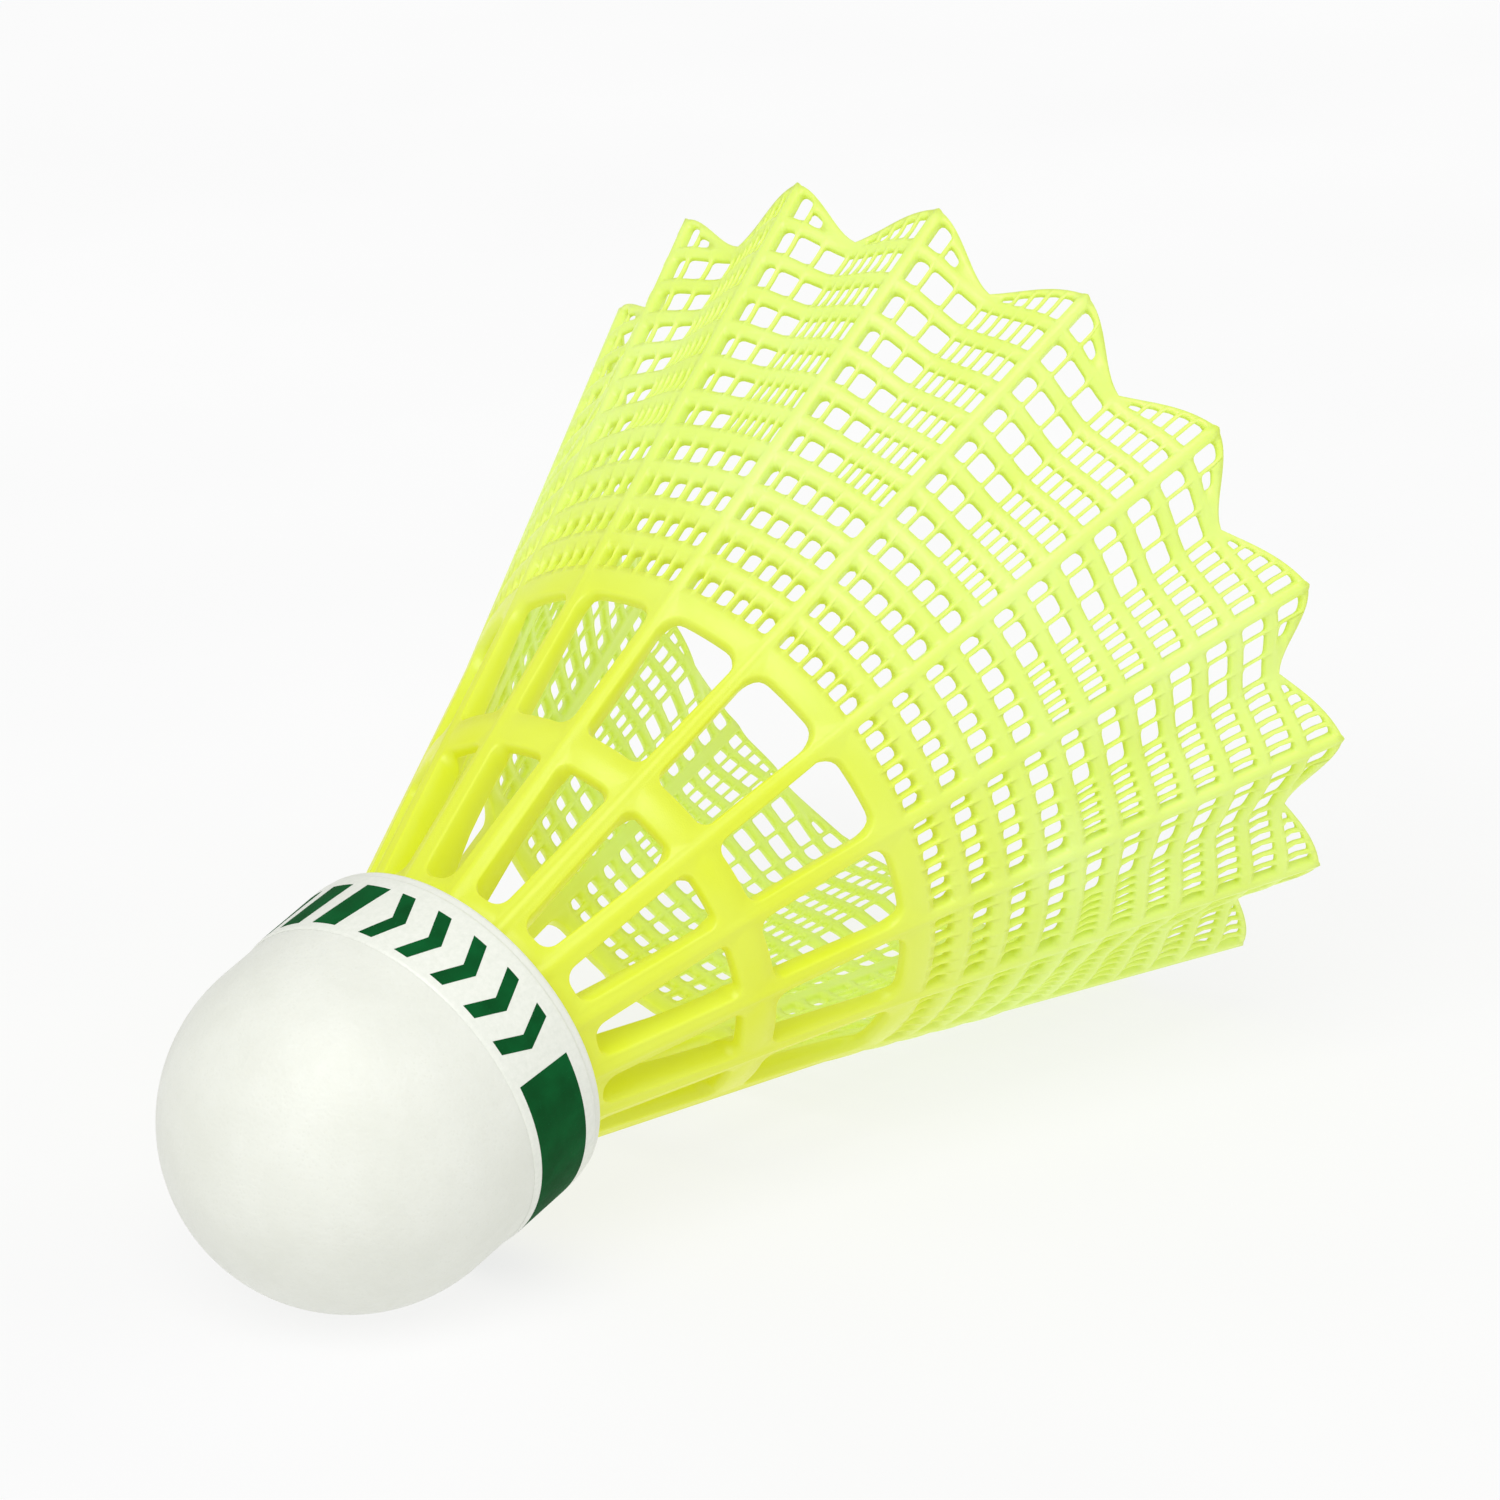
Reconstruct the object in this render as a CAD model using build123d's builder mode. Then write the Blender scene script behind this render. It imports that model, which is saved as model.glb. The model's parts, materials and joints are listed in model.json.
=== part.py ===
from build123d import *
from math import acos, atan2, cos, hypot, pi, sin
import os

# Badminton shuttlecock: a cork base in a white skin, with a printed tape round its rim, and a
# one-piece nylon skirt whose foot is glued into the cork. It lies on its side, on the dome of
# the base and on two neighbouring tips of the skirt, with its mouth towards +X.
# Heights are measured along the shuttle's own axis, from the nose (0) to the tips.

# ---- driving dimensions, in millimetres ----
base_radius = 13.2  # outside of the skin, and the radius of the round nose
base_height = 24.4
skin_thickness = 0.5
rim_round = 0.45
skin_turn_in = 1.6  # how far the skin is folded over on the cork's top face
tape_thickness = 0.12
tape_low = 16.9
tape_high = 23.6

total_length = 84.0
tip_radius = 33.6
rib_count = 16
hub_radius = 10.8  # skirt's outside where it leaves the base
bend_height = 49.0  # the skirt flares a little more from here up
bend_radius = 19.5
pleat_height = 63.4  # pleats start here and deepen towards the mouth
notch_height = 81.6  # lowest point of the mouth's scalloped edge
pleat_depth = 2.4  # at the tips
wall = 0.5  # of the pleated vane
seam_overlap = 1.0  # the pleated wall starts this far down in the smooth one

rib_width = 0.7
rib_proud = 0.25
gusset_top = 33.0  # each rib is also the web behind its stem, and a gusset on the hub
gusset_depth = 4.6
rib_depth_low = 2.4  # at the gusset's top
rib_depth_high = 1.3
stem_depth_low = 1.5
stem_depth_high = 1.1
ring_taper = 1.2  # height over which the window ring thins to the vane's wall

hub_thickness = 2.2
foot_radius = 4.9
foot_length = 9.0
foot_floor = 1.2
foot_bore_radius = 3.4
barb_proud = 0.25
barb_length = 1.0
barb_pitch = 2.8
barb_count = 2
glue_thickness = 0.4

# windows between the stems: (low height, high height, stem width low, stem width high, corner)
lower_windows = (26.9, 37.7, 2.0, 1.6, 0.8)
upper_windows = (40.2, 50.4, 1.45, 1.25, 1.2)
past = 1.0  # cutting shapes run this far past what they cut

# ---- derived sizes ----
cork_top = base_height - skin_thickness
sector = 2 * pi / rib_count
rim_reach = tip_radius * cos(sector / 2) + rib_width / 2 * sin(sector / 2)
tip_rise = total_length - base_radius
tilt = acos(base_radius / hypot(rim_reach, tip_rise)) - atan2(tip_rise, rim_reach)

# The shuttle's axis, and the direction square to it that points at the floor.
along = Vector(cos(tilt), 0, sin(tilt))
down = Vector(sin(tilt), 0, -cos(tilt))
reach_x = tip_rise * cos(tilt) + rim_reach * sin(tilt)
dome_centre = Vector((base_radius - reach_x) / 2, 0, base_radius)
nose = dome_centre - along * base_radius

shuttle = Plane(origin=nose, x_dir=down, z_dir=along)
section = Plane(origin=nose, x_dir=down, z_dir=-shuttle.y_dir)  # x outwards, y along the axis
shuttle_axis = Axis(nose, along)


def envelope(height):
    """Radius of the ribs' outer edge at a height on the skirt."""
    if height < bend_height:
        slope = (bend_radius - hub_radius) / (bend_height - base_height)
    else:
        slope = (tip_radius - bend_radius) / (total_length - bend_height)
    return bend_radius + slope * (height - bend_height)


def outward(turns):
    """Unit vector square to the axis, a number of sectors round from the floor side."""
    return down * cos(turns * sector) + shuttle.y_dir * sin(turns * sector)


def facing_plane(turns):
    """Plane through the axis that faces outwards: x runs round the skirt, y along the axis."""
    normal = outward(turns)
    return Plane(origin=nose, x_dir=along.cross(normal), z_dir=normal)


def rib_plane(turns):
    """Plane that holds the axis and a rib: x runs outwards, y along the axis."""
    radial = outward(turns)
    return Plane(origin=nose, x_dir=radial, z_dir=radial.cross(along))


def base_outline(inset):
    """Half outline of the base's dome and side, drawn inset mm inside the outer surface."""
    radius = base_radius - inset
    CenterArc((0, base_radius), radius, -90, 90)
    Line((radius, base_radius), (radius, base_height - inset))


def foot_outline():
    """Half outline of the skirt's foot, with its barbs, up to the underside of the hub."""
    bottom = cork_top - foot_length
    points = [(0, bottom), (foot_radius, bottom)]
    for barb in range(1, barb_count + 1):
        root = bottom + barb * barb_pitch
        points += [(foot_radius, root - barb_length), (foot_radius + barb_proud, root)]
        points += [(foot_radius, root)]
    return points + [(foot_radius, cork_top), (0, cork_top)]


def pleat_ring(height, inset):
    """Closed zigzag outline of the pleated wall, ridges on the ribs and valleys between."""
    share = (height - pleat_height) / (total_length - pleat_height)
    ridge = envelope(height) - rib_proud - inset
    valley = ridge - pleat_depth * max(share, 0)
    turns = [step / 2 for step in range(2 * rib_count)]
    radii = [valley if step % 2 == 0 else ridge for step in range(2 * rib_count)]
    return [(r * cos(t * sector), r * sin(t * sector)) for r, t in zip(radii, turns)]


# ---- base ----
with BuildPart() as cork_core:
    with BuildSketch(section):
        with BuildLine():
            base_outline(skin_thickness)
            core_radius = base_radius - skin_thickness
            Polyline((core_radius, cork_top), (0, cork_top), (0, skin_thickness))
        make_face()
    revolve(axis=shuttle_axis)
    socket_depth = foot_length + glue_thickness
    with BuildSketch(shuttle.offset(cork_top)):
        Circle(foot_radius + glue_thickness)
    extrude(amount=-socket_depth, mode=Mode.SUBTRACT)

with BuildPart() as cork_cover:
    with BuildSketch(section):
        with BuildLine():
            base_outline(0)
            Polyline(
                (base_radius, base_height),
                (base_radius - skin_turn_in, base_height),
                (base_radius - skin_turn_in, cork_top),
                (core_radius, cork_top),
            )
            base_outline(skin_thickness)
            Line((0, skin_thickness), (0, 0))
        make_face()
        rim = vertices().sort_by(lambda corner: corner.X + corner.Y)[-1]
        fillet(rim, rim_round)
    revolve(axis=shuttle_axis)

with BuildPart() as tape_band:
    with BuildSketch(shuttle.offset(tape_low)):
        Circle(base_radius + tape_thickness)
        Circle(base_radius, mode=Mode.SUBTRACT)
    extrude(amount=tape_high - tape_low)

with BuildPart() as glue_film:
    with BuildSketch(shuttle.offset(cork_top)):
        Circle(foot_radius + glue_thickness)
    extrude(amount=-socket_depth)
    with BuildSketch(section):
        with BuildLine():
            Polyline(foot_outline(), close=True)
        make_face()
    revolve(axis=shuttle_axis, mode=Mode.SUBTRACT)

# ---- skirt ----
with BuildPart() as skirt:
    # pleated wall, from just below the first pleat to the mouth
    seam = pleat_height - seam_overlap
    for inset, mode in ((0, Mode.ADD), (wall, Mode.SUBTRACT)):
        for height in (seam, total_length):
            with BuildSketch(shuttle.offset(height)):
                with BuildLine():
                    Polyline(pleat_ring(height, inset), close=True)
                make_face()
        loft(ruled=True, mode=mode)

    # scalloped mouth: a V between each pair of tips
    for valley in range(rib_count):
        half_gap = tip_radius * sin(sector / 2) - rib_width / 2
        with BuildSketch(facing_plane(valley)):
            with BuildLine():
                Polyline(
                    (0, notch_height),
                    (half_gap, total_length),
                    (half_gap, total_length + past),
                    (-half_gap, total_length + past),
                    (-half_gap, total_length),
                    close=True,
                )
            make_face()
    extrude(amount=tip_radius + past, mode=Mode.SUBTRACT)

    # stems, middle ring, window ring and the smooth wall above it, as one cone with windows
    window_top = upper_windows[1]
    ring_top = window_top + ring_taper
    with BuildSketch(section):
        with BuildLine():
            outer = [(envelope(h) - rib_proud, h) for h in (cork_top, bend_height, pleat_height)]
            inner = [
                (envelope(pleat_height) - rib_proud - wall, pleat_height),
                (envelope(ring_top) - rib_proud - wall, ring_top),
                (envelope(window_top) - rib_proud - stem_depth_high, window_top),
                (envelope(bend_height) - rib_proud - stem_depth_high, bend_height),
                (envelope(cork_top) - rib_proud - stem_depth_low, cork_top),
            ]
            Polyline(outer + inner, close=True)
        make_face()
    revolve(axis=shuttle_axis)
    for low, high, stem_low, stem_high, corner in (lower_windows, upper_windows):
        half_low = envelope(low) * sin(sector / 2) - stem_low / 2
        half_high = envelope(high) * sin(sector / 2) - stem_high / 2
        for valley in range(rib_count):
            with BuildSketch(facing_plane(valley)):
                with BuildLine():
                    Polyline(
                        (-half_low, low), (half_low, low), (half_high, high), (-half_high, high),
                        close=True,
                    )
                make_face()
                fillet(vertices(), corner)
        extrude(amount=tip_radius, mode=Mode.SUBTRACT)

    # one raised rib up the middle of each stem and on along the ridge to the tip
    for rib in range(rib_count):
        with BuildSketch(rib_plane(rib + 0.5)):
            with BuildLine():
                outer = [(envelope(h), h) for h in (cork_top, bend_height, total_length)]
                inner = [
                    (tip_radius - rib_proud - wall, total_length),
                    (envelope(window_top) - rib_depth_high, window_top),
                    (envelope(gusset_top) - rib_depth_low, gusset_top),
                    (envelope(cork_top) - gusset_depth, cork_top),
                ]
                Polyline(outer + inner, close=True)
            make_face()
    extrude(amount=rib_width / 2, both=True)

    # hub disc on the cork, and the hollow foot glued into it
    with BuildSketch(section):
        with BuildLine():
            hub_top = cork_top + hub_thickness
            Polyline(
                (0, cork_top),
                (envelope(cork_top) - rib_proud, cork_top),
                (envelope(hub_top) - rib_proud, hub_top),
                (0, hub_top),
                close=True,
            )
        make_face()
        with BuildLine():
            Polyline(foot_outline(), close=True)
        make_face()
    revolve(axis=shuttle_axis)
    with BuildSketch(shuttle.offset(hub_top)):
        Circle(foot_bore_radius)
    extrude(amount=-(hub_thickness + foot_length - foot_floor), mode=Mode.SUBTRACT)

os.makedirs("parts", exist_ok=True)
nodes = {
    "cork_core": cork_core,
    "cork_cover": cork_cover,
    "tape_band": tape_band,
    "glue_film": glue_film,
    "skirt": skirt,
}
for name, builder in nodes.items():
    builder.part.label = name
    export_step(builder.part, f"parts/{name}.step")
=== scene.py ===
import json
import math
from collections import Counter

import bmesh
import bpy
from mathutils import Matrix, Vector


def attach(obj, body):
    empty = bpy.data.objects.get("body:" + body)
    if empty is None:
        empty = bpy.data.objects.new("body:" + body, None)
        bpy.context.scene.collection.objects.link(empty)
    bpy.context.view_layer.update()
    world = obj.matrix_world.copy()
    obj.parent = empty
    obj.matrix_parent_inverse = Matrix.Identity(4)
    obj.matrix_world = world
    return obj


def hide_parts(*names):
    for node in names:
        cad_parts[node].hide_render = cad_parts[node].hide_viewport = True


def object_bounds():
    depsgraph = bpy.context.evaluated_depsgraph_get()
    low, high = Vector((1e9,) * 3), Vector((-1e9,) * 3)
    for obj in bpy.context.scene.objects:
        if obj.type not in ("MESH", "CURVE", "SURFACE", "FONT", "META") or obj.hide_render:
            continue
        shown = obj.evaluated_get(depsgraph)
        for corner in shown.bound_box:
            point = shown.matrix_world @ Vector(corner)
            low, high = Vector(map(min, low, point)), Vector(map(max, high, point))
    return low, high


# Looks of a badminton shuttlecock that lies on its side. Sizes are in millimetres. Heights run
# along the shuttle's own axis, from the nose (0) to the tips. A turn is one sector of the skirt:
# ribs stand at the half turns, and the pleats' valleys at the whole ones. Within a sector, turns
# count from its rib, side is 1 or -1, and a share is the way from the rib's edge to the valley.

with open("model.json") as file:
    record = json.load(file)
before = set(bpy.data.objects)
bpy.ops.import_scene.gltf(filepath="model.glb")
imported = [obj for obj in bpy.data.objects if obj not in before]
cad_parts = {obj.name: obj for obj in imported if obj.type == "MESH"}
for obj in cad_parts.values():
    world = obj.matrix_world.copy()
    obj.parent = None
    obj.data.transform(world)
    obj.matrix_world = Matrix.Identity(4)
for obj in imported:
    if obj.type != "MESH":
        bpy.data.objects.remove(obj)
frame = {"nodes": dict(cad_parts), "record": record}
cad_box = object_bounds()

# ---- place of the shuttle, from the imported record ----
mounts = {mount["name"]: mount for mount in frame["record"]["mounts"]}
nose = Vector(mounts["base_nose"]["pos_m"])
mouth = Vector(mounts["mouth_nest"]["pos_m"])
along = (mouth - nose).normalized()
down = Vector((along.z, 0, -along.x))
across = along.cross(down)

# ---- sizes ----
MM = 0.001
RIBS = 16
SECTOR = 2 * math.pi / RIBS

BASE_RADIUS = mounts["base_nose"]["dims"]["r_mm"]
BASE_HEIGHT = 24.4
SKIN = 0.5
SKIN_EDGE_RADIUS = 11.6  # where the skin ends, turned in on the cork's top
RIM_ROUND = 0.45
CORK_TOP = BASE_HEIGHT - SKIN

TAPE_LOW, TAPE_HIGH, TAPE_THICK = 16.9, 23.6, 0.12
TAPE_START, TAPE_LAP = 3.0, 0.85  # turns
TAPE_GAP = 0.004  # between the tape and the skin
PRINT_LOW, PRINT_HIGH = 17.6, 22.4
INK_SUNK, INK_PROUD = 0.03, 0.012

FOOT_RADIUS, FOOT_LENGTH, FOOT_BORE, FOOT_FLOOR = 4.9, 9.0, 3.4, 1.2
BARBS, BARB_PITCH, BARB_LENGTH, BARB_PROUD = 2, 2.8, 1.0, 0.25
GATE_RADIUS, GATE_RISE = 1.2, 0.4
DISC_RADIUS = 10.1

HUB_RADIUS, HUB_TOP = 10.8, 26.1
RING_HEIGHT = 38.95
BEND_HEIGHT, BEND_RADIUS = 49.0, 19.5
PLEAT_HEIGHT, PLEAT_DEPTH = 63.4, 2.4
PLEAT_ROUNDNESS = 0.6  # 0 is a zigzag, and 1 a cosine wave
TIP_HEIGHT = (mouth - nose).length / MM
TIP_RADIUS = 33.6
TIP_ROUND = 0.12  # fall of the mouth's edge across a tip
NOTCH_HEIGHT = 81.6
MOUTH_CURVE = 0.6  # of the S on the wide side: 0 is straight, and 1 a full S
MOUTH_BULGE = 0.3  # on the side with the slits
LOWER_WINDOW = {"low": 26.9, "high": 37.7, "stems": (2.0, 1.6), "corners": (1.0, 0.8)}
UPPER_WINDOW = {"low": 40.2, "high": 50.4, "stems": (1.45, 1.25), "corners": (0.9, 1.4)}
WINDOW_RIM, WINDOW_ROUND = 0.12, 0.14

NET_START, ROW_PITCH = 51.84, 2.92
PLAIN_ROWS, SLIT_ROWS = 4, 6
TIP_ROW_LOW = NET_START + (PLAIN_ROWS + SLIT_ROWS) * ROW_PITCH
HOLE_HEIGHTS = (1.75, 2.1)  # in the net's first and last full row
HOLE_ROUND = 0.09
WIDE_CORNER, SLIT_CORNER = 0.3, 0.14
RIB_MARGIN, THREAD_MARGIN, VALLEY_MARGIN = 0.09, 0.11, 0.15
WIDE_WALLS = (0.0, 0.25, 0.62, 1.0)  # shares
PLAIN_WALLS = tuple(step / 3 for step in range(4))
SLIT_WALLS = tuple(step / 6 for step in range(7))

# sizes at the hub, at the net's start and at the tips
RIB_PROUD = (0.24, 0.12, 0.08)
RIB_HALF = (0.62, 0.42, 0.4)
WEB_HALF = (1.05, 0.5, 0.4)
WALL = (1.3, 1.1, 0.7)
HOLE_TAPER = (0.11, 0.11, 0.03)
THREAD_THINNER = (0, 0, 0.2)

WEB_BLEND = 0.8  # from a web's side to the plain wall
THREAD_SUNK = 0.25
THINNEST = 0.2
WEB_DEPTHS = ((CORK_TOP, 4.6), (33.0, 2.4), (NET_START, 1.3), (TIP_HEIGHT, 0.88))

# ---- mesh steps ----
WIDE_STEPS, SLIT_STEPS = 4, 2  # across a hole
HOLE_STEPS = 4  # up the side of a hole
FACE_STEPS = 12  # from a rib's edge to a valley
CORNER_STEPS = 6  # round a window's corner
WINDOW_STEPS = 10  # up the side of a window
HUB_ROWS = (CORK_TOP, 24.9, HUB_TOP)
RIB_PARTS = (-1, -0.55, 0, 0.55, 1)  # across a rib
FOOT_STEPS, COVER_STEPS = 64, 128  # round the axis
NOSE_STEPS, INNER_NOSE_STEPS, RIM_STEPS = 40, 30, 6
BAND_STEP = 0.12  # turns, along the tape and its print
PRINT_STEPS = 12  # up the print
MERGE_DISTANCE = 2e-6  # metres


def mix(a, b, share):
    """Value at a share of the way from a to b."""
    return a + (b - a) * share


def smooth(low, high, value):
    """0 below low, 1 above high, with a smooth step between."""
    share = min(max((value - low) / (high - low), 0), 1)
    return share * share * (3 - 2 * share)


def arc(centre, radius, start, stop, steps):
    """Points of an arc in a plane, from one angle in degrees to another."""
    points = []
    for step in range(steps + 1):
        angle = math.radians(mix(start, stop, step / steps))
        points.append((centre[0] + radius * math.cos(angle), centre[1] + radius * math.sin(angle)))
    return points


def place(turn, radius, height):
    """World point at a turn round the axis, a radius and a height."""
    angle = turn * SECTOR
    radial = down * math.cos(angle) + across * math.sin(angle)
    return nose + along * (height * MM) + radial * (radius * MM)


def new_piece(name, mesh, replaced=(), crease=180):
    """Object for a finished bmesh, riding on the shuttle, shaded smooth up to the crease angle."""
    bmesh.ops.recalc_face_normals(mesh, faces=mesh.faces)
    for face in mesh.faces:
        face.smooth = True
    data = bpy.data.meshes.new(name)
    mesh.to_mesh(data)
    mesh.free()
    data.set_sharp_from_angle(angle=math.radians(crease))
    piece = bpy.data.objects.new(name, data)
    bpy.context.scene.collection.objects.link(piece)
    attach(piece, "root")
    for node in replaced:
        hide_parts(node)
    return piece


def add_revolved(mesh, profile, steps):
    """Closed body turned round the shuttle's axis. The profile's points are (radius, height), and
    the first and last lie on the axis."""
    rings = []
    for radius, height in profile:
        if radius == 0:
            rings.append([mesh.verts.new(place(0, 0, height))])
            continue
        ring = []
        for step in range(steps):
            ring.append(mesh.verts.new(place(RIBS * step / steps, radius, height)))
        rings.append(ring)
    for first, second in zip(rings, rings[1:]):
        for step in range(steps):
            after = (step + 1) % steps
            corners = [first[step % len(first)], first[after % len(first)]]
            corners += [second[after % len(second)], second[step % len(second)]]
            mesh.faces.new(list(dict.fromkeys(corners)))


# ---- skirt: its surface ----


def envelope(height):
    """Radius of the ribs' crest at a height."""
    if height < BEND_HEIGHT:
        slope = (BEND_RADIUS - HUB_RADIUS) / (BEND_HEIGHT - BASE_HEIGHT)
    else:
        slope = (TIP_RADIUS - BEND_RADIUS) / (TIP_HEIGHT - BEND_HEIGHT)
    return BEND_RADIUS + slope * (height - BEND_HEIGHT)


def turn_width(height):
    """Length of one turn at a height."""
    return envelope(height) * SECTOR


def skirt_point(rib, turn, height, sink):
    """World point of the skirt, a part of a turn beside a rib and sink mm under its crest.
    The wall is round low down, and pleats that sink between the ribs deepen towards the mouth."""
    part = abs(turn) * 2
    wave = mix(part, (1 - math.cos(math.pi * part)) / 2, PLEAT_ROUNDNESS)
    fold = max(height - PLEAT_HEIGHT, 0) / (TIP_HEIGHT - PLEAT_HEIGHT)
    return place(rib + turn, envelope(height) - sink - PLEAT_DEPTH * fold * wave, height)


def along_skirt(height, sizes):
    """A size that changes evenly from the hub to the net, and from the net to the tips."""
    hub, net, tip = sizes
    if height < NET_START:
        return mix(hub, net, (height - HUB_TOP) / (NET_START - HUB_TOP))
    return mix(net, tip, (height - NET_START) / (TIP_HEIGHT - NET_START))


def web_depth(height):
    """Depth of the web behind a rib. It is deepest at the hub, which it joins as a gusset."""
    for (low, low_depth), (high, high_depth) in zip(WEB_DEPTHS, WEB_DEPTHS[1:]):
        if height <= high:
            break
    return mix(low_depth, high_depth, (height - low) / (high - low))


def section(turn, height, thread):
    """Sink of the outer face and thickness of the wall. thread is 1 on the thin threads between
    holes, which lie deeper than the bands and ribs that they join."""
    offset = abs(turn) * turn_width(height)
    sink = along_skirt(height, RIB_PROUD) * smooth(0, along_skirt(height, RIB_HALF), offset)
    sink += THREAD_SUNK * thread
    web_side = along_skirt(height, WEB_HALF)
    from_web = smooth(web_side, web_side + WEB_BLEND, offset)
    inner = mix(web_depth(height), along_skirt(height, WALL), from_web)
    inner -= along_skirt(height, THREAD_THINNER) * thread
    return sink, inner - sink


def rib_side(side, height):
    """Turn at the edge of a rib, on one side of it."""
    return side * along_skirt(height, RIB_HALF) / turn_width(height)


def face_turn(side, share, height):
    """Turn at a share of the way from a rib's edge to the valley."""
    return mix(rib_side(side, height), side * 0.5, share)


def mouth_height(side, share):
    """Height of the mouth's edge: a shallow S from each tip down to the notch on the side with
    the wide holes, and a slight bulge on the side with the slits."""
    top = TIP_HEIGHT - TIP_ROUND
    if side > 0:
        return mix(top, NOTCH_HEIGHT, mix(share, smooth(0, 0.95, share), MOUTH_CURVE))
    return mix(top, NOTCH_HEIGHT, share) + MOUTH_BULGE * math.sin(math.pi * share)


# ---- skirt: its mesh ----


class Sheet:
    """One sector of the skirt, from valley to valley, as quads between shared corners."""

    def __init__(self):
        self.corners = []
        self.index = {}
        self.faces = []

    def corner(self, turn, height, drop=0.0, thread=0.0, inside=None):
        """Number of the corner at a place. drop rounds the wall's two faces off there, and inside
        is the (turn, height) on the inner face where a hole tapers."""
        key = (round(turn, 5), round(height, 4))
        if key not in self.index:
            sink, thick = section(turn, height, thread)
            outer = (turn, height, sink + drop)
            inner = (*(inside or (turn, height)), sink + max(thick - drop, drop + THINNEST))
            self.index[key] = len(self.corners)
            self.corners.append((outer, inner))
        return self.index[key]

    def strip(self, first, second):
        """Quads between two lines with the same number of corners."""
        for a, b, c, d in zip(first, first[1:], second[1:], second):
            self.faces.append((a, b, c, d))

    def grid(self, lines):
        """Quads between every two neighbouring lines."""
        for first, second in zip(lines, lines[1:]):
            self.strip(first, second)


def side_shares(side):
    """Shares of the mesh corners between a rib and a valley, which fit the net's holes above."""
    if side < 0:
        return [step / FACE_STEPS for step in range(FACE_STEPS + 1)]
    shares = [0.0]
    for start, stop in zip(WIDE_WALLS, WIDE_WALLS[1:]):
        shares += [mix(start, stop, step / WIDE_STEPS) for step in range(1, WIDE_STEPS + 1)]
    return shares


def hub_wall(sheet):
    """Closed foot of the wall, from the cork up to the first window."""
    for side in (-1, 1):
        lines = []
        for height in HUB_ROWS:
            line = [sheet.corner(face_turn(side, s, height), height) for s in side_shares(side)]
            lines.append(line)
        sheet.grid(lines)


def window_edge(opening, grow):
    """Points (mm from the rib, height) of half a window's edge, moved out by grow, from the middle
    of the gap round by the stem and back."""
    bottom, top = opening["low"] - grow, opening["high"] + grow
    stems = [width / 2 - grow for width in opening["stems"]]
    radii = [radius + grow for radius in opening["corners"]]
    low_centre = (stems[0] + radii[0], bottom + radii[0])
    high_centre = (stems[1] + radii[1], top - radii[1])
    flat = FACE_STEPS - CORNER_STEPS // 2
    rise = WINDOW_STEPS - CORNER_STEPS
    path = []
    for step in range(flat + 1):
        path.append((mix(turn_width(bottom) / 2, low_centre[0], step / flat), bottom))
    path += arc(low_centre, radii[0], 270, 180, CORNER_STEPS)[1:]
    for step in range(1, rise + 1):
        share = step / rise
        path.append((mix(stems[0], stems[1], share), mix(low_centre[1], high_centre[1], share)))
    path += arc(high_centre, radii[1], 180, 90, CORNER_STEPS)[1:]
    for step in range(1, flat + 1):
        path.append((mix(high_centre[0], turn_width(top) / 2, step / flat), top))
    return path


def window(sheet, side, low, high, opening):
    """Half of a window between two heights, from a rib to the middle of the gap, with a rounded
    rim."""

    def line(height):
        """Corners from the rib to the middle of the gap, at one height."""
        return [sheet.corner(face_turn(side, share, height), height) for share in side_shares(side)]

    outer = line(low)[::-1]
    for step in range(1, WINDOW_STEPS):
        height = mix(low, high, step / WINDOW_STEPS)
        outer.append(sheet.corner(face_turn(side, 0, height), height))
    loops = [outer + line(high)]
    for grow, drop in ((WINDOW_RIM, 0.0), (0.0, WINDOW_ROUND)):
        loop = []
        for offset, height in window_edge(opening, grow):
            loop.append(sheet.corner(side * offset / turn_width(height), height, drop))
        loops.append(loop)
    sheet.grid(loops)


def cell_outline(steps):
    """Outline of a unit cell, from its lower left corner round."""
    path = [(step / steps, 0) for step in range(steps)]
    path += [(1, step / HOLE_STEPS) for step in range(HOLE_STEPS)]
    path += [(1 - step / steps, 1) for step in range(steps)]
    path += [(0, 1 - step / HOLE_STEPS) for step in range(HOLE_STEPS)]
    return path


def rounded(steps, left, right, low, high, round_x, round_y):
    """Outline of a rounded hole in a unit cell, with as many points as the cell's own outline."""
    cut = 1 - math.sqrt(0.5)
    middle = (left + right) / 2
    flat = [left + round_x, middle, right - round_x] if steps == WIDE_STEPS else [middle]
    rise = [low + round_y, (low + high) / 2, high - round_y]
    near, far = left + round_x * cut, right - round_x * cut
    bottom, top = low + round_y * cut, high - round_y * cut
    path = [(near, bottom)] + [(x, low) for x in flat]
    path += [(far, bottom)] + [(right, y) for y in rise]
    path += [(far, top)] + [(x, high) for x in reversed(flat)]
    path += [(near, top)] + [(left, y) for y in reversed(rise)]
    return path


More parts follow.
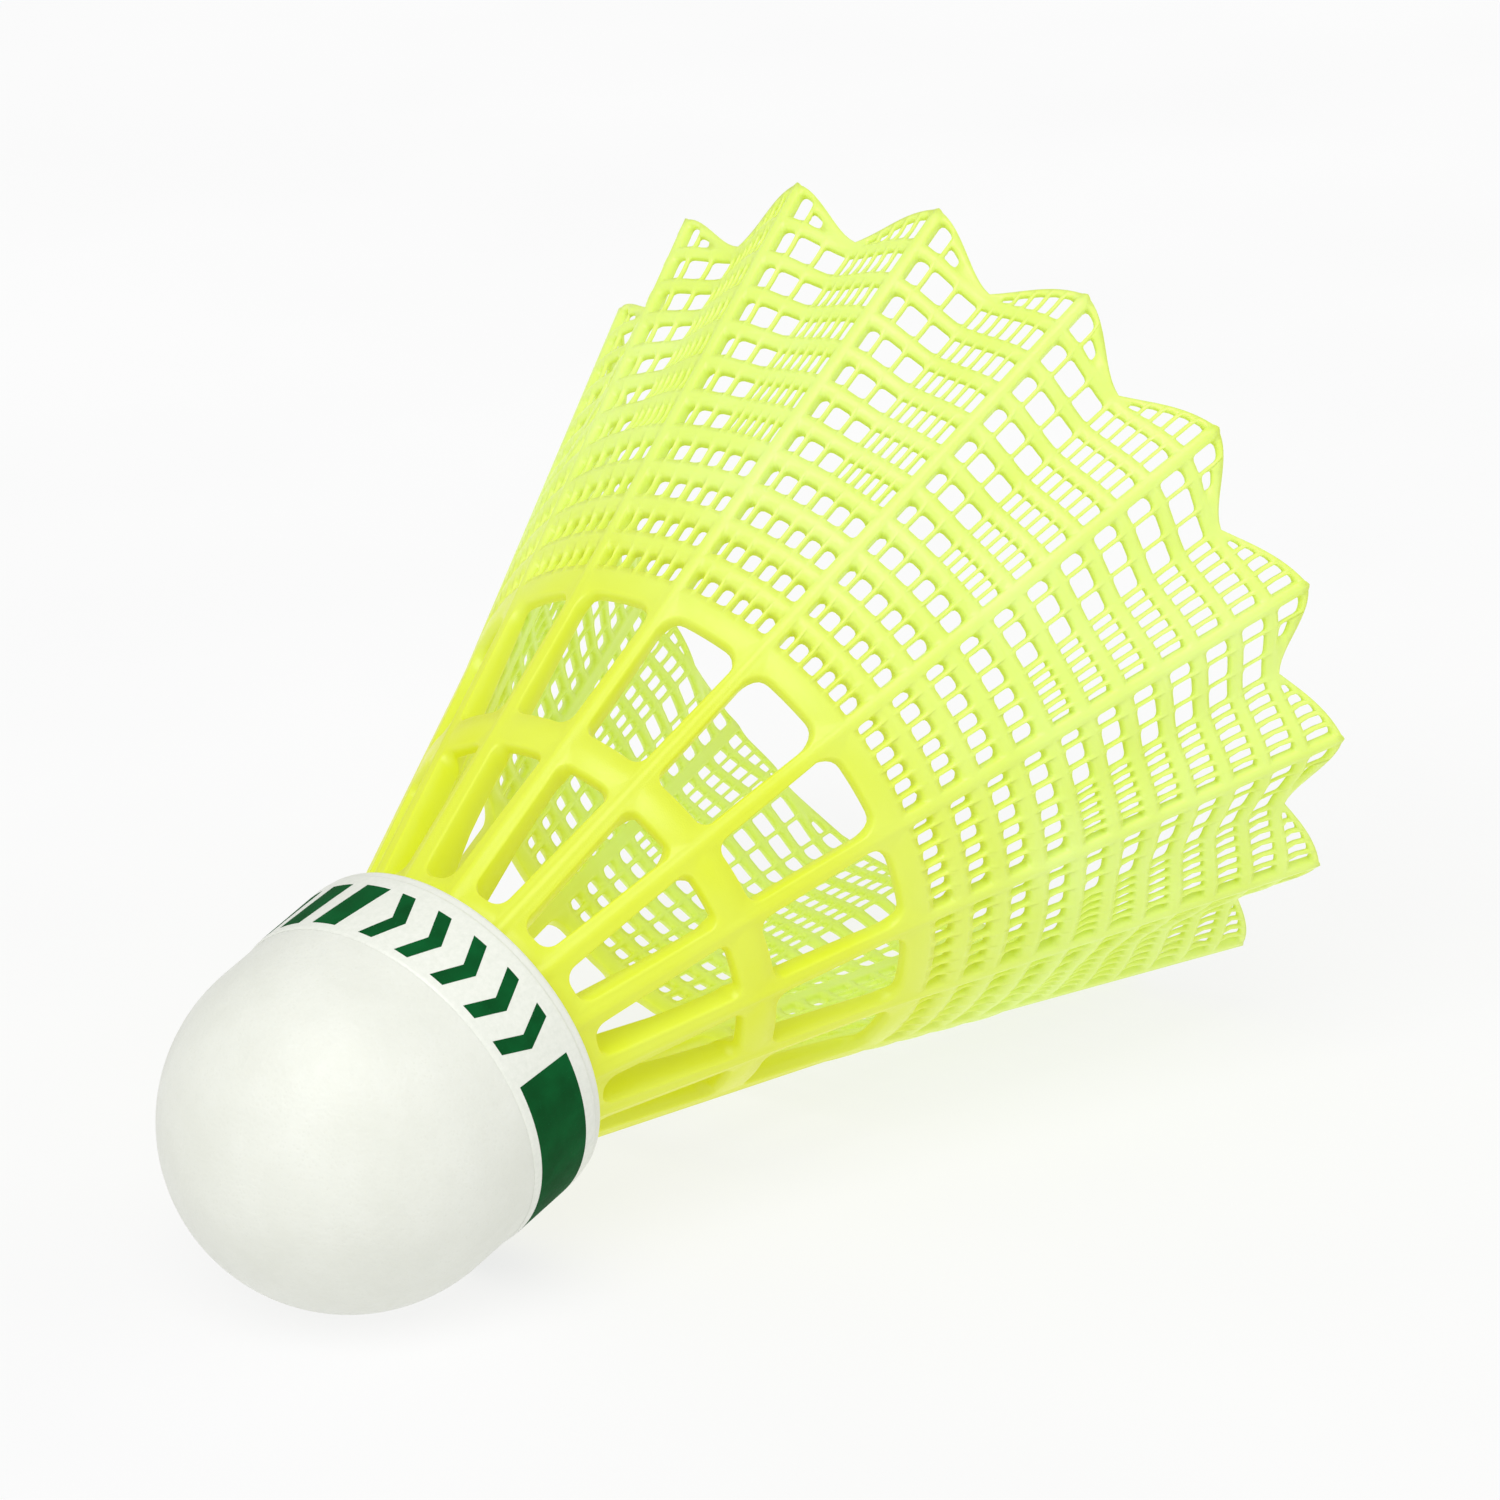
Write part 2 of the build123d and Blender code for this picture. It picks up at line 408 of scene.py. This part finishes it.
def cell(sheet, side, shares, low, high, steps, hole=None):
    """One cell of the net. hole is (left, right, bottom, top, radius), margins in mm, or None.
    low is the height of the cell's lower edge, and high a height for each share of the way."""

    def at(u, v):
        """(turn, height) at a share of the cell's width and one of its height."""
        share = mix(shares[0], shares[1], u)
        height = mix(low, high(share), v)
        return face_turn(side, share, height), height

    if hole is None:
        lines = []
        for row in range(HOLE_STEPS + 1):
            line = [sheet.corner(*at(step / steps, row / HOLE_STEPS)) for step in range(steps + 1)]
            lines.append(line)
        sheet.grid(lines)
        return
    left, right, bottom, top, radius = hole
    rise = high((shares[0] + shares[1]) / 2) - low
    span = abs(face_turn(1, shares[1], low) - face_turn(1, shares[0], low)) * turn_width(low)

    def hole_outline(taper):
        """Outline of the hole, made smaller by a taper in millimetres."""
        sideways, upward = taper / span, taper / rise
        return rounded(
            steps, left / span + sideways, 1 - right / span - sideways,
            bottom / rise + upward, 1 - top / rise - upward,
            min(radius / span, 0.45 * (1 - (left + right) / span - 2 * sideways)), radius / rise,
        )

    def thread_at(u, v):
        """1 on a thread, 0 on a band or beside a rib."""
        from_band = min(v - bottom / rise, 1 - top / rise - v) * rise
        return smooth(-0.05, 0.4, from_band) * (smooth(0.1, 0.6, u) if shares[0] == 0 else 1)

    border = [sheet.corner(*at(u, v), 0.0, thread_at(u, v)) for u, v in cell_outline(steps)]
    edge = []
    taper = along_skirt(low, HOLE_TAPER) * steps / WIDE_STEPS
    for (u, v), inside in zip(hole_outline(0), hole_outline(taper)):
        edge.append(sheet.corner(*at(u, v), HOLE_ROUND, thread_at(u, v), at(*inside)))
    sheet.strip(border + border[:1], edge + edge[:1])


def net_rows(sheet):
    """Full rows of holes: three to a face low down, then three wide ones and six slits."""
    last = PLAIN_ROWS + SLIT_ROWS - 1
    for row in range(last + 1):
        low = NET_START + row * ROW_PITCH
        edge = (ROW_PITCH - mix(*HOLE_HEIGHTS, row / last)) / 2
        for side in (-1, 1):
            walls, steps, radius = WIDE_WALLS, WIDE_STEPS, WIDE_CORNER
            if side < 0:
                walls = PLAIN_WALLS
            if side < 0 and row >= PLAIN_ROWS:
                walls, steps, radius = SLIT_WALLS, SLIT_STEPS, SLIT_CORNER
            for shares in zip(walls, walls[1:]):
                left = RIB_MARGIN if shares[0] == 0 else THREAD_MARGIN
                right = VALLEY_MARGIN if shares[1] == 1 else THREAD_MARGIN
                hole = (left, right, edge, edge, radius)
                cell(sheet, side, shares, low, lambda share: low + ROW_PITCH, steps, hole)


def tip_row(sheet):
    """Last row, under the scalloped mouth: a few holes that shrink away from each tip."""
    wide_holes = [(0.08, 0.1, 0.36, 0.28, 0.3), (0.14, 0.95, 0.32, 0.6, 0.25), None]
    slits = [(0.06, 0.13, 0.38, 0.28, 0.16)] + 4 * [(0.13, 0.13, 0.38, 0.28, 0.16)] + [None]
    for side, walls, steps, holes in (
        (1, WIDE_WALLS, WIDE_STEPS, wide_holes),
        (-1, SLIT_WALLS, SLIT_STEPS, slits),
    ):
        for shares, hole in zip(zip(walls, walls[1:]), holes):
            cell(sheet, side, shares, TIP_ROW_LOW, lambda s: mouth_height(side, s), steps, hole)


def rib_strip(sheet):
    """The rib itself, from the cork to its tip, over every height its neighbours use."""
    spans = [(low, high, 1) for low, high in zip(HUB_ROWS, HUB_ROWS[1:])]
    spans += [(HUB_TOP, RING_HEIGHT, WINDOW_STEPS), (RING_HEIGHT, NET_START, WINDOW_STEPS)]
    for row in range(PLAIN_ROWS + SLIT_ROWS):
        low = NET_START + row * ROW_PITCH
        spans.append((low, low + ROW_PITCH, HOLE_STEPS))
    heights = [CORK_TOP]
    for low, high, steps in spans:
        heights += [mix(low, high, step / steps) for step in range(1, steps + 1)]
    lines = []
    for height in heights:
        lines.append([sheet.corner(rib_side(part, height), height) for part in RIB_PARTS])
    for step in range(1, HOLE_STEPS + 1):
        line = []
        for part in RIB_PARTS:
            top = TIP_HEIGHT - TIP_ROUND * part ** 2
            height = mix(TIP_ROW_LOW, top, step / HOLE_STEPS)
            line.append(sheet.corner(rib_side(part, height), height))
        lines.append(line)
    sheet.grid(lines)


def add_sheet(mesh, sheet):
    """Sixteen copies of the sector, as one closed wall with an inner and an outer face."""
    uses = Counter()
    for face in sheet.faces:
        for a, b in zip(face, face[1:] + face[:1]):
            uses[frozenset((a, b))] += 1
    rims = []
    for pair, count in uses.items():
        at_valley = all(abs(abs(sheet.corners[i][0][0]) - 0.5) < 1e-4 for i in pair)
        if count == 1 and not at_valley:
            rims.append(tuple(pair))
    for rib in range(RIBS):
        outer, inner = [], []
        for outer_place, inner_place in sheet.corners:
            outer.append(mesh.verts.new(skirt_point(rib + 0.5, *outer_place)))
            inner.append(mesh.verts.new(skirt_point(rib + 0.5, *inner_place)))
        for face in sheet.faces:
            mesh.faces.new([outer[i] for i in face])
            mesh.faces.new([inner[i] for i in reversed(face)])
        for a, b in rims:
            mesh.faces.new((outer[a], outer[b], inner[b], inner[a]))
    bmesh.ops.remove_doubles(mesh, verts=mesh.verts, dist=MERGE_DISTANCE)


def hub_profile():
    """Half outline of the foot's bore, with a gate mark on its floor, the hub disc, with a low bead
    near its edge, and the outside of the foot, with its barbs."""
    bottom = CORK_TOP - FOOT_LENGTH
    floor = bottom + FOOT_FLOOR
    profile = [(0, floor + GATE_RISE), (GATE_RADIUS - 0.3, floor + GATE_RISE)]
    profile += [(GATE_RADIUS - 0.1, floor + 0.25), (GATE_RADIUS, floor)]
    profile += [(FOOT_BORE - 0.2, floor), (FOOT_BORE, floor + 0.2), (FOOT_BORE, HUB_TOP - 0.3)]
    profile += [(FOOT_BORE + 0.08, HUB_TOP - 0.08), (FOOT_BORE + 0.3, HUB_TOP)]
    profile += [(DISC_RADIUS - 1.3, HUB_TOP), (DISC_RADIUS - 0.5, HUB_TOP + 0.25)]
    profile += [(DISC_RADIUS, HUB_TOP + 0.1), (DISC_RADIUS, CORK_TOP + 0.3)]
    profile += [(DISC_RADIUS - 0.2, CORK_TOP), (FOOT_RADIUS + 0.2, CORK_TOP)]
    profile += [(FOOT_RADIUS, CORK_TOP - 0.2)]
    for barb in range(BARBS, 0, -1):
        root = bottom + barb * BARB_PITCH
        profile += [(FOOT_RADIUS, root), (FOOT_RADIUS + BARB_PROUD, root - 0.05)]
        profile += [(FOOT_RADIUS, root - BARB_LENGTH)]
    return profile + [(FOOT_RADIUS, bottom + 0.2), (FOOT_RADIUS - 0.2, bottom), (0, bottom)]


def make_skirt():
    """Nylon skirt: the wall with its windows and net of holes, and the hub, whose foot is glued
    into the cork. Each is a closed shell, and they overlap under the stems."""
    sheet = Sheet()
    hub_wall(sheet)
    for side in (-1, 1):
        window(sheet, side, HUB_TOP, RING_HEIGHT, LOWER_WINDOW)
        window(sheet, side, RING_HEIGHT, NET_START, UPPER_WINDOW)
    net_rows(sheet)
    tip_row(sheet)
    rib_strip(sheet)
    mesh = bmesh.new()
    add_sheet(mesh, sheet)
    add_revolved(mesh, hub_profile(), FOOT_STEPS)
    return new_piece("nylon_skirt", mesh, ["skirt"])


# ---- base ----


def make_cover():
    """Thin skin over the cork: round nose, straight side, rounded rim, turned in on the top."""
    inner = BASE_RADIUS - SKIN
    edge = SKIN_EDGE_RADIUS
    profile = arc((0, BASE_RADIUS), BASE_RADIUS, -90, 0, NOSE_STEPS)[1:]
    profile += [(BASE_RADIUS, height) for height in (15.0, 17.5, 20.0, 22.5)]
    rim_centre = (BASE_RADIUS - RIM_ROUND, BASE_HEIGHT - RIM_ROUND)
    profile += arc(rim_centre, RIM_ROUND, 0, 90, RIM_STEPS)
    profile += [(edge + 0.7, BASE_HEIGHT), (edge + 0.2, BASE_HEIGHT - 0.03)]
    profile += [(edge, BASE_HEIGHT - 0.2), (edge, CORK_TOP + 0.02)]
    profile += [(inner - 0.02, CORK_TOP + 0.02), (inner, CORK_TOP), (inner, 20.0), (inner, 15.0)]
    profile += arc((0, BASE_RADIUS), inner, 0, -90, INNER_NOSE_STEPS)[:-1]
    mesh = bmesh.new()
    add_revolved(mesh, [(0, 0)] + profile + [(0, SKIN)], COVER_STEPS)
    return new_piece("cover_skin", mesh, ["cork_cover"], crease=50)


def add_band(mesh, rows, layers):
    """Closed thin plate bent round the base. A row is (height, left turn, right turn). layers gives
    the inner and outer radius at a row and a share of the way across it."""
    steps = max(2, math.ceil(abs(rows[0][2] - rows[0][1]) / BAND_STEP))
    grids = []
    for level in (0, 1):
        grid = []
        for row, (height, left, right) in enumerate(rows):
            line = []
            for step in range(steps + 1):
                radius = layers(row, step / steps)[level]
                line.append(mesh.verts.new(place(mix(left, right, step / steps), radius, height)))
            grid.append(line)
        grids.append(grid)
    inner, outer = grids
    for grid in grids:
        for low_line, high_line in zip(grid, grid[1:]):
            for i in range(steps):
                mesh.faces.new((low_line[i], low_line[i + 1], high_line[i + 1], high_line[i]))
    for row in (0, -1):
        for i in range(steps):
            mesh.faces.new((inner[row][i], inner[row][i + 1], outer[row][i + 1], outer[row][i]))
    for end in (0, -1):
        for row in range(len(rows) - 1):
            corners = (inner[row][end], inner[row + 1][end], outer[row + 1][end], outer[row][end])
            mesh.faces.new(corners)


def make_tape():
    """Tape wound once round the base, its end lapped over its start at the back."""
    width = TAPE_HIGH - TAPE_LOW
    edge = [(0, 0.1), (0.1, 0.8), (0.25, 1)]  # mm from the edge, share of the full thickness
    levels = edge + [(width / 2, 1)] + [(width - step, share) for step, share in reversed(edge)]
    length = RIBS + TAPE_LAP

    def layers(row, share):
        """Radii of the tape's two faces. It climbs on to its own start just before a full turn."""
        lift = smooth(RIBS - 0.25, RIBS + 0.05, length * share) * TAPE_THICK
        low = BASE_RADIUS + TAPE_GAP + lift
        return low, low + (TAPE_THICK - TAPE_GAP) * levels[row][1]

    mesh = bmesh.new()
    rows = [(TAPE_LOW + level, TAPE_START, TAPE_START + length) for level, _ in levels]
    add_band(mesh, rows, layers)
    return new_piece("tape_wrap", mesh, ["tape_band"], crease=40)


def make_print():
    """Plain green shapes printed on the tape: a long block, chevrons, and slanted bars."""
    surface = BASE_RADIUS + TAPE_THICK
    ink = (surface - INK_SUNK, surface + INK_PROUD)
    mesh = bmesh.new()

    def add_bar(left, width, lean=0.0, bend=0.0):
        """A bar that leans by so many turns over its height, or bends by so many half way up."""
        rows = []
        for step in range(PRINT_STEPS + 1):
            share = step / PRINT_STEPS
            start = left + lean * share + bend * (1 - abs(2 * share - 1))
            rows.append((mix(PRINT_LOW, PRINT_HIGH, share), start, start + width))
        add_band(mesh, rows, lambda row, share: ink)

    add_bar(-4.6, 7.45, lean=0.06)
    for mark in range(5):
        add_bar(-7.72 + mark * 0.6, 0.22, bend=0.2)
    for mark in range(3):
        add_bar(-8.55 - mark * 0.7, 0.42, lean=0.2)
    for mark in range(4):
        add_bar(4.0 + mark * 0.4, 0.2, lean=0.2)
    return new_piece("tape_print", mesh, crease=40)


# ---- materials ----


class Shader:
    """A Principled material and short calls that add nodes to it. Patterns use millimetres."""

    def __init__(self, name, **constants):
        self.material = bpy.data.materials.new(name)
        self.material.use_nodes = True
        self.tree = self.material.node_tree
        self.principled = self.tree.nodes["Principled BSDF"]
        for socket, value in constants.items():
            self.principled.inputs[socket.replace("_", " ")].default_value = value
        coordinates = self.tree.nodes.new("ShaderNodeTexCoord")
        self.millimetres = self.add(
            "ShaderNodeVectorMath", {"Vector": coordinates.outputs["Object"], "Scale": 1 / MM},
            operation="SCALE",
        )

    def add(self, kind, inputs, output=0, **settings):
        """New node. inputs are values or other nodes' outputs; gives the wanted output socket."""
        node = self.tree.nodes.new(kind)
        for setting, value in settings.items():
            setattr(node, setting, value)
        for key, value in inputs.items():
            socket = node.inputs[key]
            if isinstance(value, bpy.types.NodeSocket):
                self.tree.links.new(value, socket)
            else:
                socket.default_value = value
        return node.outputs[output]

    def noise(self, scale, detail=3.0, roughness=0.5):
        """Soft noise between 0 and 1, with scale features to the millimetre."""
        inputs = {"Vector": self.millimetres, "Scale": scale, "Detail": detail}
        return self.add("ShaderNodeTexNoise", {**inputs, "Roughness": roughness})

    def cells(self, scale, output="Distance", feature="F1"):
        """Voronoi cells, with scale of them to the millimetre."""
        inputs = {"Vector": self.millimetres, "Scale": scale}
        return self.add("ShaderNodeTexVoronoi", inputs, output, feature=feature)

    def remap(self, value, low, high, out_low=0.0, out_high=1.0):
        """Moves low to out_low and high to out_high, evenly between and held beyond."""
        inputs = {0: value, 1: low, 2: high, 3: out_low, 4: out_high}
        return self.add("ShaderNodeMapRange", inputs)

    def height(self):
        """Height along the shuttle's axis, in millimetres from the nose."""
        from_nose = self.add(
            "ShaderNodeVectorMath", {0: self.millimetres, 1: tuple(nose / MM)}, operation="SUBTRACT"
        )
        return self.add(
            "ShaderNodeVectorMath", {0: from_nose, 1: tuple(along)}, "Value",
            operation="DOT_PRODUCT",
        )

    def blend_colours(self, factor, first, second):
        """Mix of two colours. The node's sockets for colours go by number: 6, 7 and output 2."""
        inputs = {0: factor, 6: first, 7: second}
        return self.add("ShaderNodeMix", inputs, 2, data_type="RGBA")

    def bump(self, pattern, depth, normal=None):
        """Raises the surface by a pattern times depth millimetres."""
        inputs = {"Height": pattern, "Distance": depth * MM, "Strength": 1.0}
        if normal is not None:
            inputs["Normal"] = normal
        return self.add("ShaderNodeBump", inputs)

    def connect(self, socket, value):
        """Links a node's output to a socket of the Principled shader."""
        self.tree.links.new(value, self.principled.inputs[socket])


def colour(code):
    """Linear RGBA of a hex sRGB colour."""
    channels = []
    for start in (0, 2, 4):
        value = int(code[start:start + 2], 16) / 255
        channels.append(value / 12.92 if value <= 0.04045 else ((value + 0.055) / 1.055) ** 2.4)
    return (*channels, 1.0)


def nylon_material():
    """Nylon that lets light through: deep yellow in the thick stems, paler and greener in the thin
    net, with faint flow marks. Its emission is a painted glow that no lamp lights. It brightens the
    shaded parts: a yellower painted glow deepens the shade on the stems, and a greener one lightens
    the net."""
    # Emission_Strength sets the strength of the painted glow, the same on stems and net.
    shader = Shader(
        "nylon_bright", IOR=1.5, Specular_IOR_Level=0.5, Subsurface_Weight=0.3,
        Subsurface_Radius=(1.0, 1.0, 0.25), Subsurface_Scale=0.001, Emission_Strength=0.28,
    )
    thin = shader.remap(shader.height(), 46.0, 62.0)
    flow = shader.noise(0.12)
    body = shader.blend_colours(thin, colour("B4CA34"), colour("BCCD6C"))
    pale = shader.blend_colours(thin, colour("B5CB49"), colour("C2D384"))
    # painted glow: emission that lifts the shaded nylon, yellow in the stems and greener in the net
    painted_glow = shader.blend_colours(thin, colour("FFE800"), colour("E6FF30"))
    shader.connect("Base Color", shader.blend_colours(shader.remap(flow, 0.35, 0.7), body, pale))
    shader.connect("Emission Color", painted_glow)
    speckle = shader.noise(4.0, 2.0)
    shader.connect("Roughness", shader.remap(speckle, 0.3, 0.7, 0.3, 0.42))
    texture = shader.bump(shader.noise(9.0, 2.0), 0.012)
    shader.connect("Normal", shader.bump(flow, 0.08, texture))
    return shader.material


def cover_material():
    """White synthetic leather: clouded, with fine pores."""
    shader = Shader(
        "cover_white", IOR=1.45, Subsurface_Weight=0.08, Subsurface_Radius=(1.0, 0.95, 0.85),
        Subsurface_Scale=0.0006, Coat_Weight=0.08, Coat_Roughness=0.35,
    )
    cloud = shader.noise(0.16, 4.0, 0.6)
    base = shader.blend_colours(shader.remap(cloud, 0.35, 0.7), colour("E4E6DD"), colour("DEE0D6"))
    pores = shader.cells(3.2)
    dots = shader.remap(pores, 0.0, 0.35)
    shader.connect("Base Color", shader.blend_colours(dots, colour("DEE0D6"), base))
    shader.connect("Roughness", shader.remap(shader.noise(1.2), 0.3, 0.7, 0.38, 0.52))
    grain = shader.bump(pores, 0.02)
    shader.connect("Normal", shader.bump(shader.noise(0.35), 0.06, grain))
    return shader.material


def tape_material():
    """White coated paper tape with a faint mottling."""
    shader = Shader("tape_white", IOR=1.48, Coat_Weight=0.1, Coat_Roughness=0.3)
    fibres = shader.noise(2.6, 4.0, 0.6)
    mottling = shader.remap(fibres, 0.35, 0.7)
    shader.connect("Base Color", shader.blend_colours(mottling, colour("E6E8DF"), colour("DEE1D7")))
    shader.connect("Roughness", shader.remap(fibres, 0.3, 0.7, 0.3, 0.42))
    shader.connect("Normal", shader.bump(fibres, 0.01))
    return shader.material


def ink_material():
    """Dark green print, slightly patchy and worn in fine specks."""
    shader = Shader("ink_green", IOR=1.3, Specular_IOR_Level=0.1)
    coverage = shader.noise(5.0, 3.0, 0.6)
    patches = shader.noise(0.5, 2.0)
    ink = shader.blend_colours(shader.remap(patches, 0.3, 0.7), colour("0A5729"), colour("094820"))
    worn = shader.blend_colours(shader.remap(coverage, 0.62, 0.8), ink, colour("196336"))
    shader.connect("Base Color", worn)
    shader.connect("Roughness", shader.remap(coverage, 0.3, 0.7, 0.6, 0.75))
    shader.connect("Normal", shader.bump(coverage, 0.008))
    return shader.material


def cork_material():
    """Pressed cork: granules of several browns with dark gaps and fine pits."""
    shader = Shader("cork_grain", IOR=1.4)
    grains = shader.cells(0.9, "Color")
    tint = shader.add("ShaderNodeSeparateColor", {"Color": grains})
    base = shader.blend_colours(tint, colour("C79A63"), colour("A9783F"))
    edges = shader.cells(0.9, "Distance", "DISTANCE_TO_EDGE")
    gaps = shader.remap(edges, 0.0, 0.08)
    shader.connect("Base Color", shader.blend_colours(gaps, colour("5F4022"), base))
    pits = shader.noise(2.4, 4.0, 0.65)
    shader.connect("Roughness", shader.remap(pits, 0.3, 0.7, 0.75, 0.92))
    shader.connect("Normal", shader.bump(pits, 0.15, shader.bump(gaps, 0.08)))
    return shader.material


def glue_material():
    """Hardened amber glue with small bubbles."""
    shader = Shader("glue_amber", IOR=1.5, Transmission_Weight=0.35)
    bubbles = shader.cells(1.6)
    amber = shader.blend_colours(shader.remap(bubbles, 0.1, 0.5), colour("E9DDB0"), colour("D9C68A"))
    shader.connect("Base Color", amber)
    ripple = shader.noise(0.7, 2.0)
    shader.connect("Roughness", shader.remap(ripple, 0.3, 0.7, 0.12, 0.25))
    shader.connect("Normal", shader.bump(ripple, 0.1))
    return shader.material


def floor_material():
    """Plain pale floor, lit evenly from within as well, so that shadows stay faint."""
    shader = Shader(
        "floor_white", IOR=1.2, Emission_Color=(1.0, 1.0, 1.0, 1.0), Emission_Strength=0.78,
    )
    shade = shader.noise(0.02, 2.0)
    white = shader.blend_colours(shader.remap(shade, 0.3, 0.7), colour("747474"), colour("707070"))
    shader.connect("Base Color", white)
    shader.connect("Roughness", shader.remap(shade, 0.3, 0.7, 0.85, 0.95))
    return shader.material


def dress(piece, material):
    """Gives a new piece its only material."""
    piece.data.materials.clear()
    piece.data.materials.append(material)


# ---- the object ----

dress(make_skirt(), nylon_material())
dress(make_cover(), cover_material())
dress(make_tape(), tape_material())
dress(make_print(), ink_material())
for slot in frame["nodes"]["cork_core"].material_slots:
    slot.material = cork_material()
for slot in frame["nodes"]["glue_film"].material_slots:
    slot.material = glue_material()

# ---- floor, light and camera ----

FLOOR_HALF = 3.0  # metres
WORLD_WHITE = (1.0, 1.0, 1.0, 1.0)
WORLD_STRENGTH = 0.55
AIM = Vector((0.0048, -0.0060, 0.0299))  # metres
VIEW = Vector((0.7052, 0.6225, -0.3393)).normalized()
DISTANCE = 0.608  # metres
ROLL = math.radians(-3.35)
SENSOR_WIDTH, LENS = 36.0, 208.0


def make_floor():
    """Square floor under the shuttle."""
    mesh = bmesh.new()
    bmesh.ops.create_grid(mesh, x_segments=8, y_segments=8, size=FLOOR_HALF)
    data = bpy.data.meshes.new("floor")
    mesh.to_mesh(data)
    mesh.free()
    floor = bpy.data.objects.new("floor", data)
    bpy.context.scene.collection.objects.link(floor)
    floor.location.z = cad_box[0][2]
    return floor


def add_light(name, direction, softness, strength):
    """Distant soft light that shines from a direction; softness is its width in degrees."""
    data = bpy.data.lights.new(name, "SUN")
    data.angle = math.radians(softness)
    data.energy = strength
    light = bpy.data.objects.new(name, data)
    bpy.context.scene.collection.objects.link(light)
    light.rotation_euler = Vector(direction).to_track_quat("Z", "Y").to_euler()


def add_world():
    """Even white light from all round."""
    world = bpy.data.worlds.new("studio")
    world.use_nodes = True
    background = world.node_tree.nodes["Background"]
    background.inputs["Color"].default_value = WORLD_WHITE
    background.inputs["Strength"].default_value = WORLD_STRENGTH
    bpy.context.scene.world = world


def add_camera():
    """Camera that looks at AIM along VIEW from DISTANCE, rolled by ROLL."""
    level_right = VIEW.cross(Vector((0, 0, 1))).normalized()
    level_up = level_right.cross(VIEW)
    right = level_right * math.cos(ROLL) + level_up * math.sin(ROLL)
    up = right.cross(VIEW)
    data = bpy.data.cameras.new("camera")
    data.sensor_width = SENSOR_WIDTH
    data.lens = LENS
    camera = bpy.data.objects.new("camera", data)
    bpy.context.scene.collection.objects.link(camera)
    rotation = Matrix((right, up, -VIEW)).transposed()
    camera.matrix_world = Matrix.Translation(AIM - VIEW * DISTANCE) @ rotation.to_4x4()
    bpy.context.scene.camera = camera


dress(make_floor(), floor_material())
add_light("key", (-0.75, -0.35, 1.0), 50, 1.75)
add_light("fill", (0.2, -1.0, 1.0), 70, 0.36)
add_world()
bpy.context.scene.view_settings.view_transform = "Standard"
add_camera()
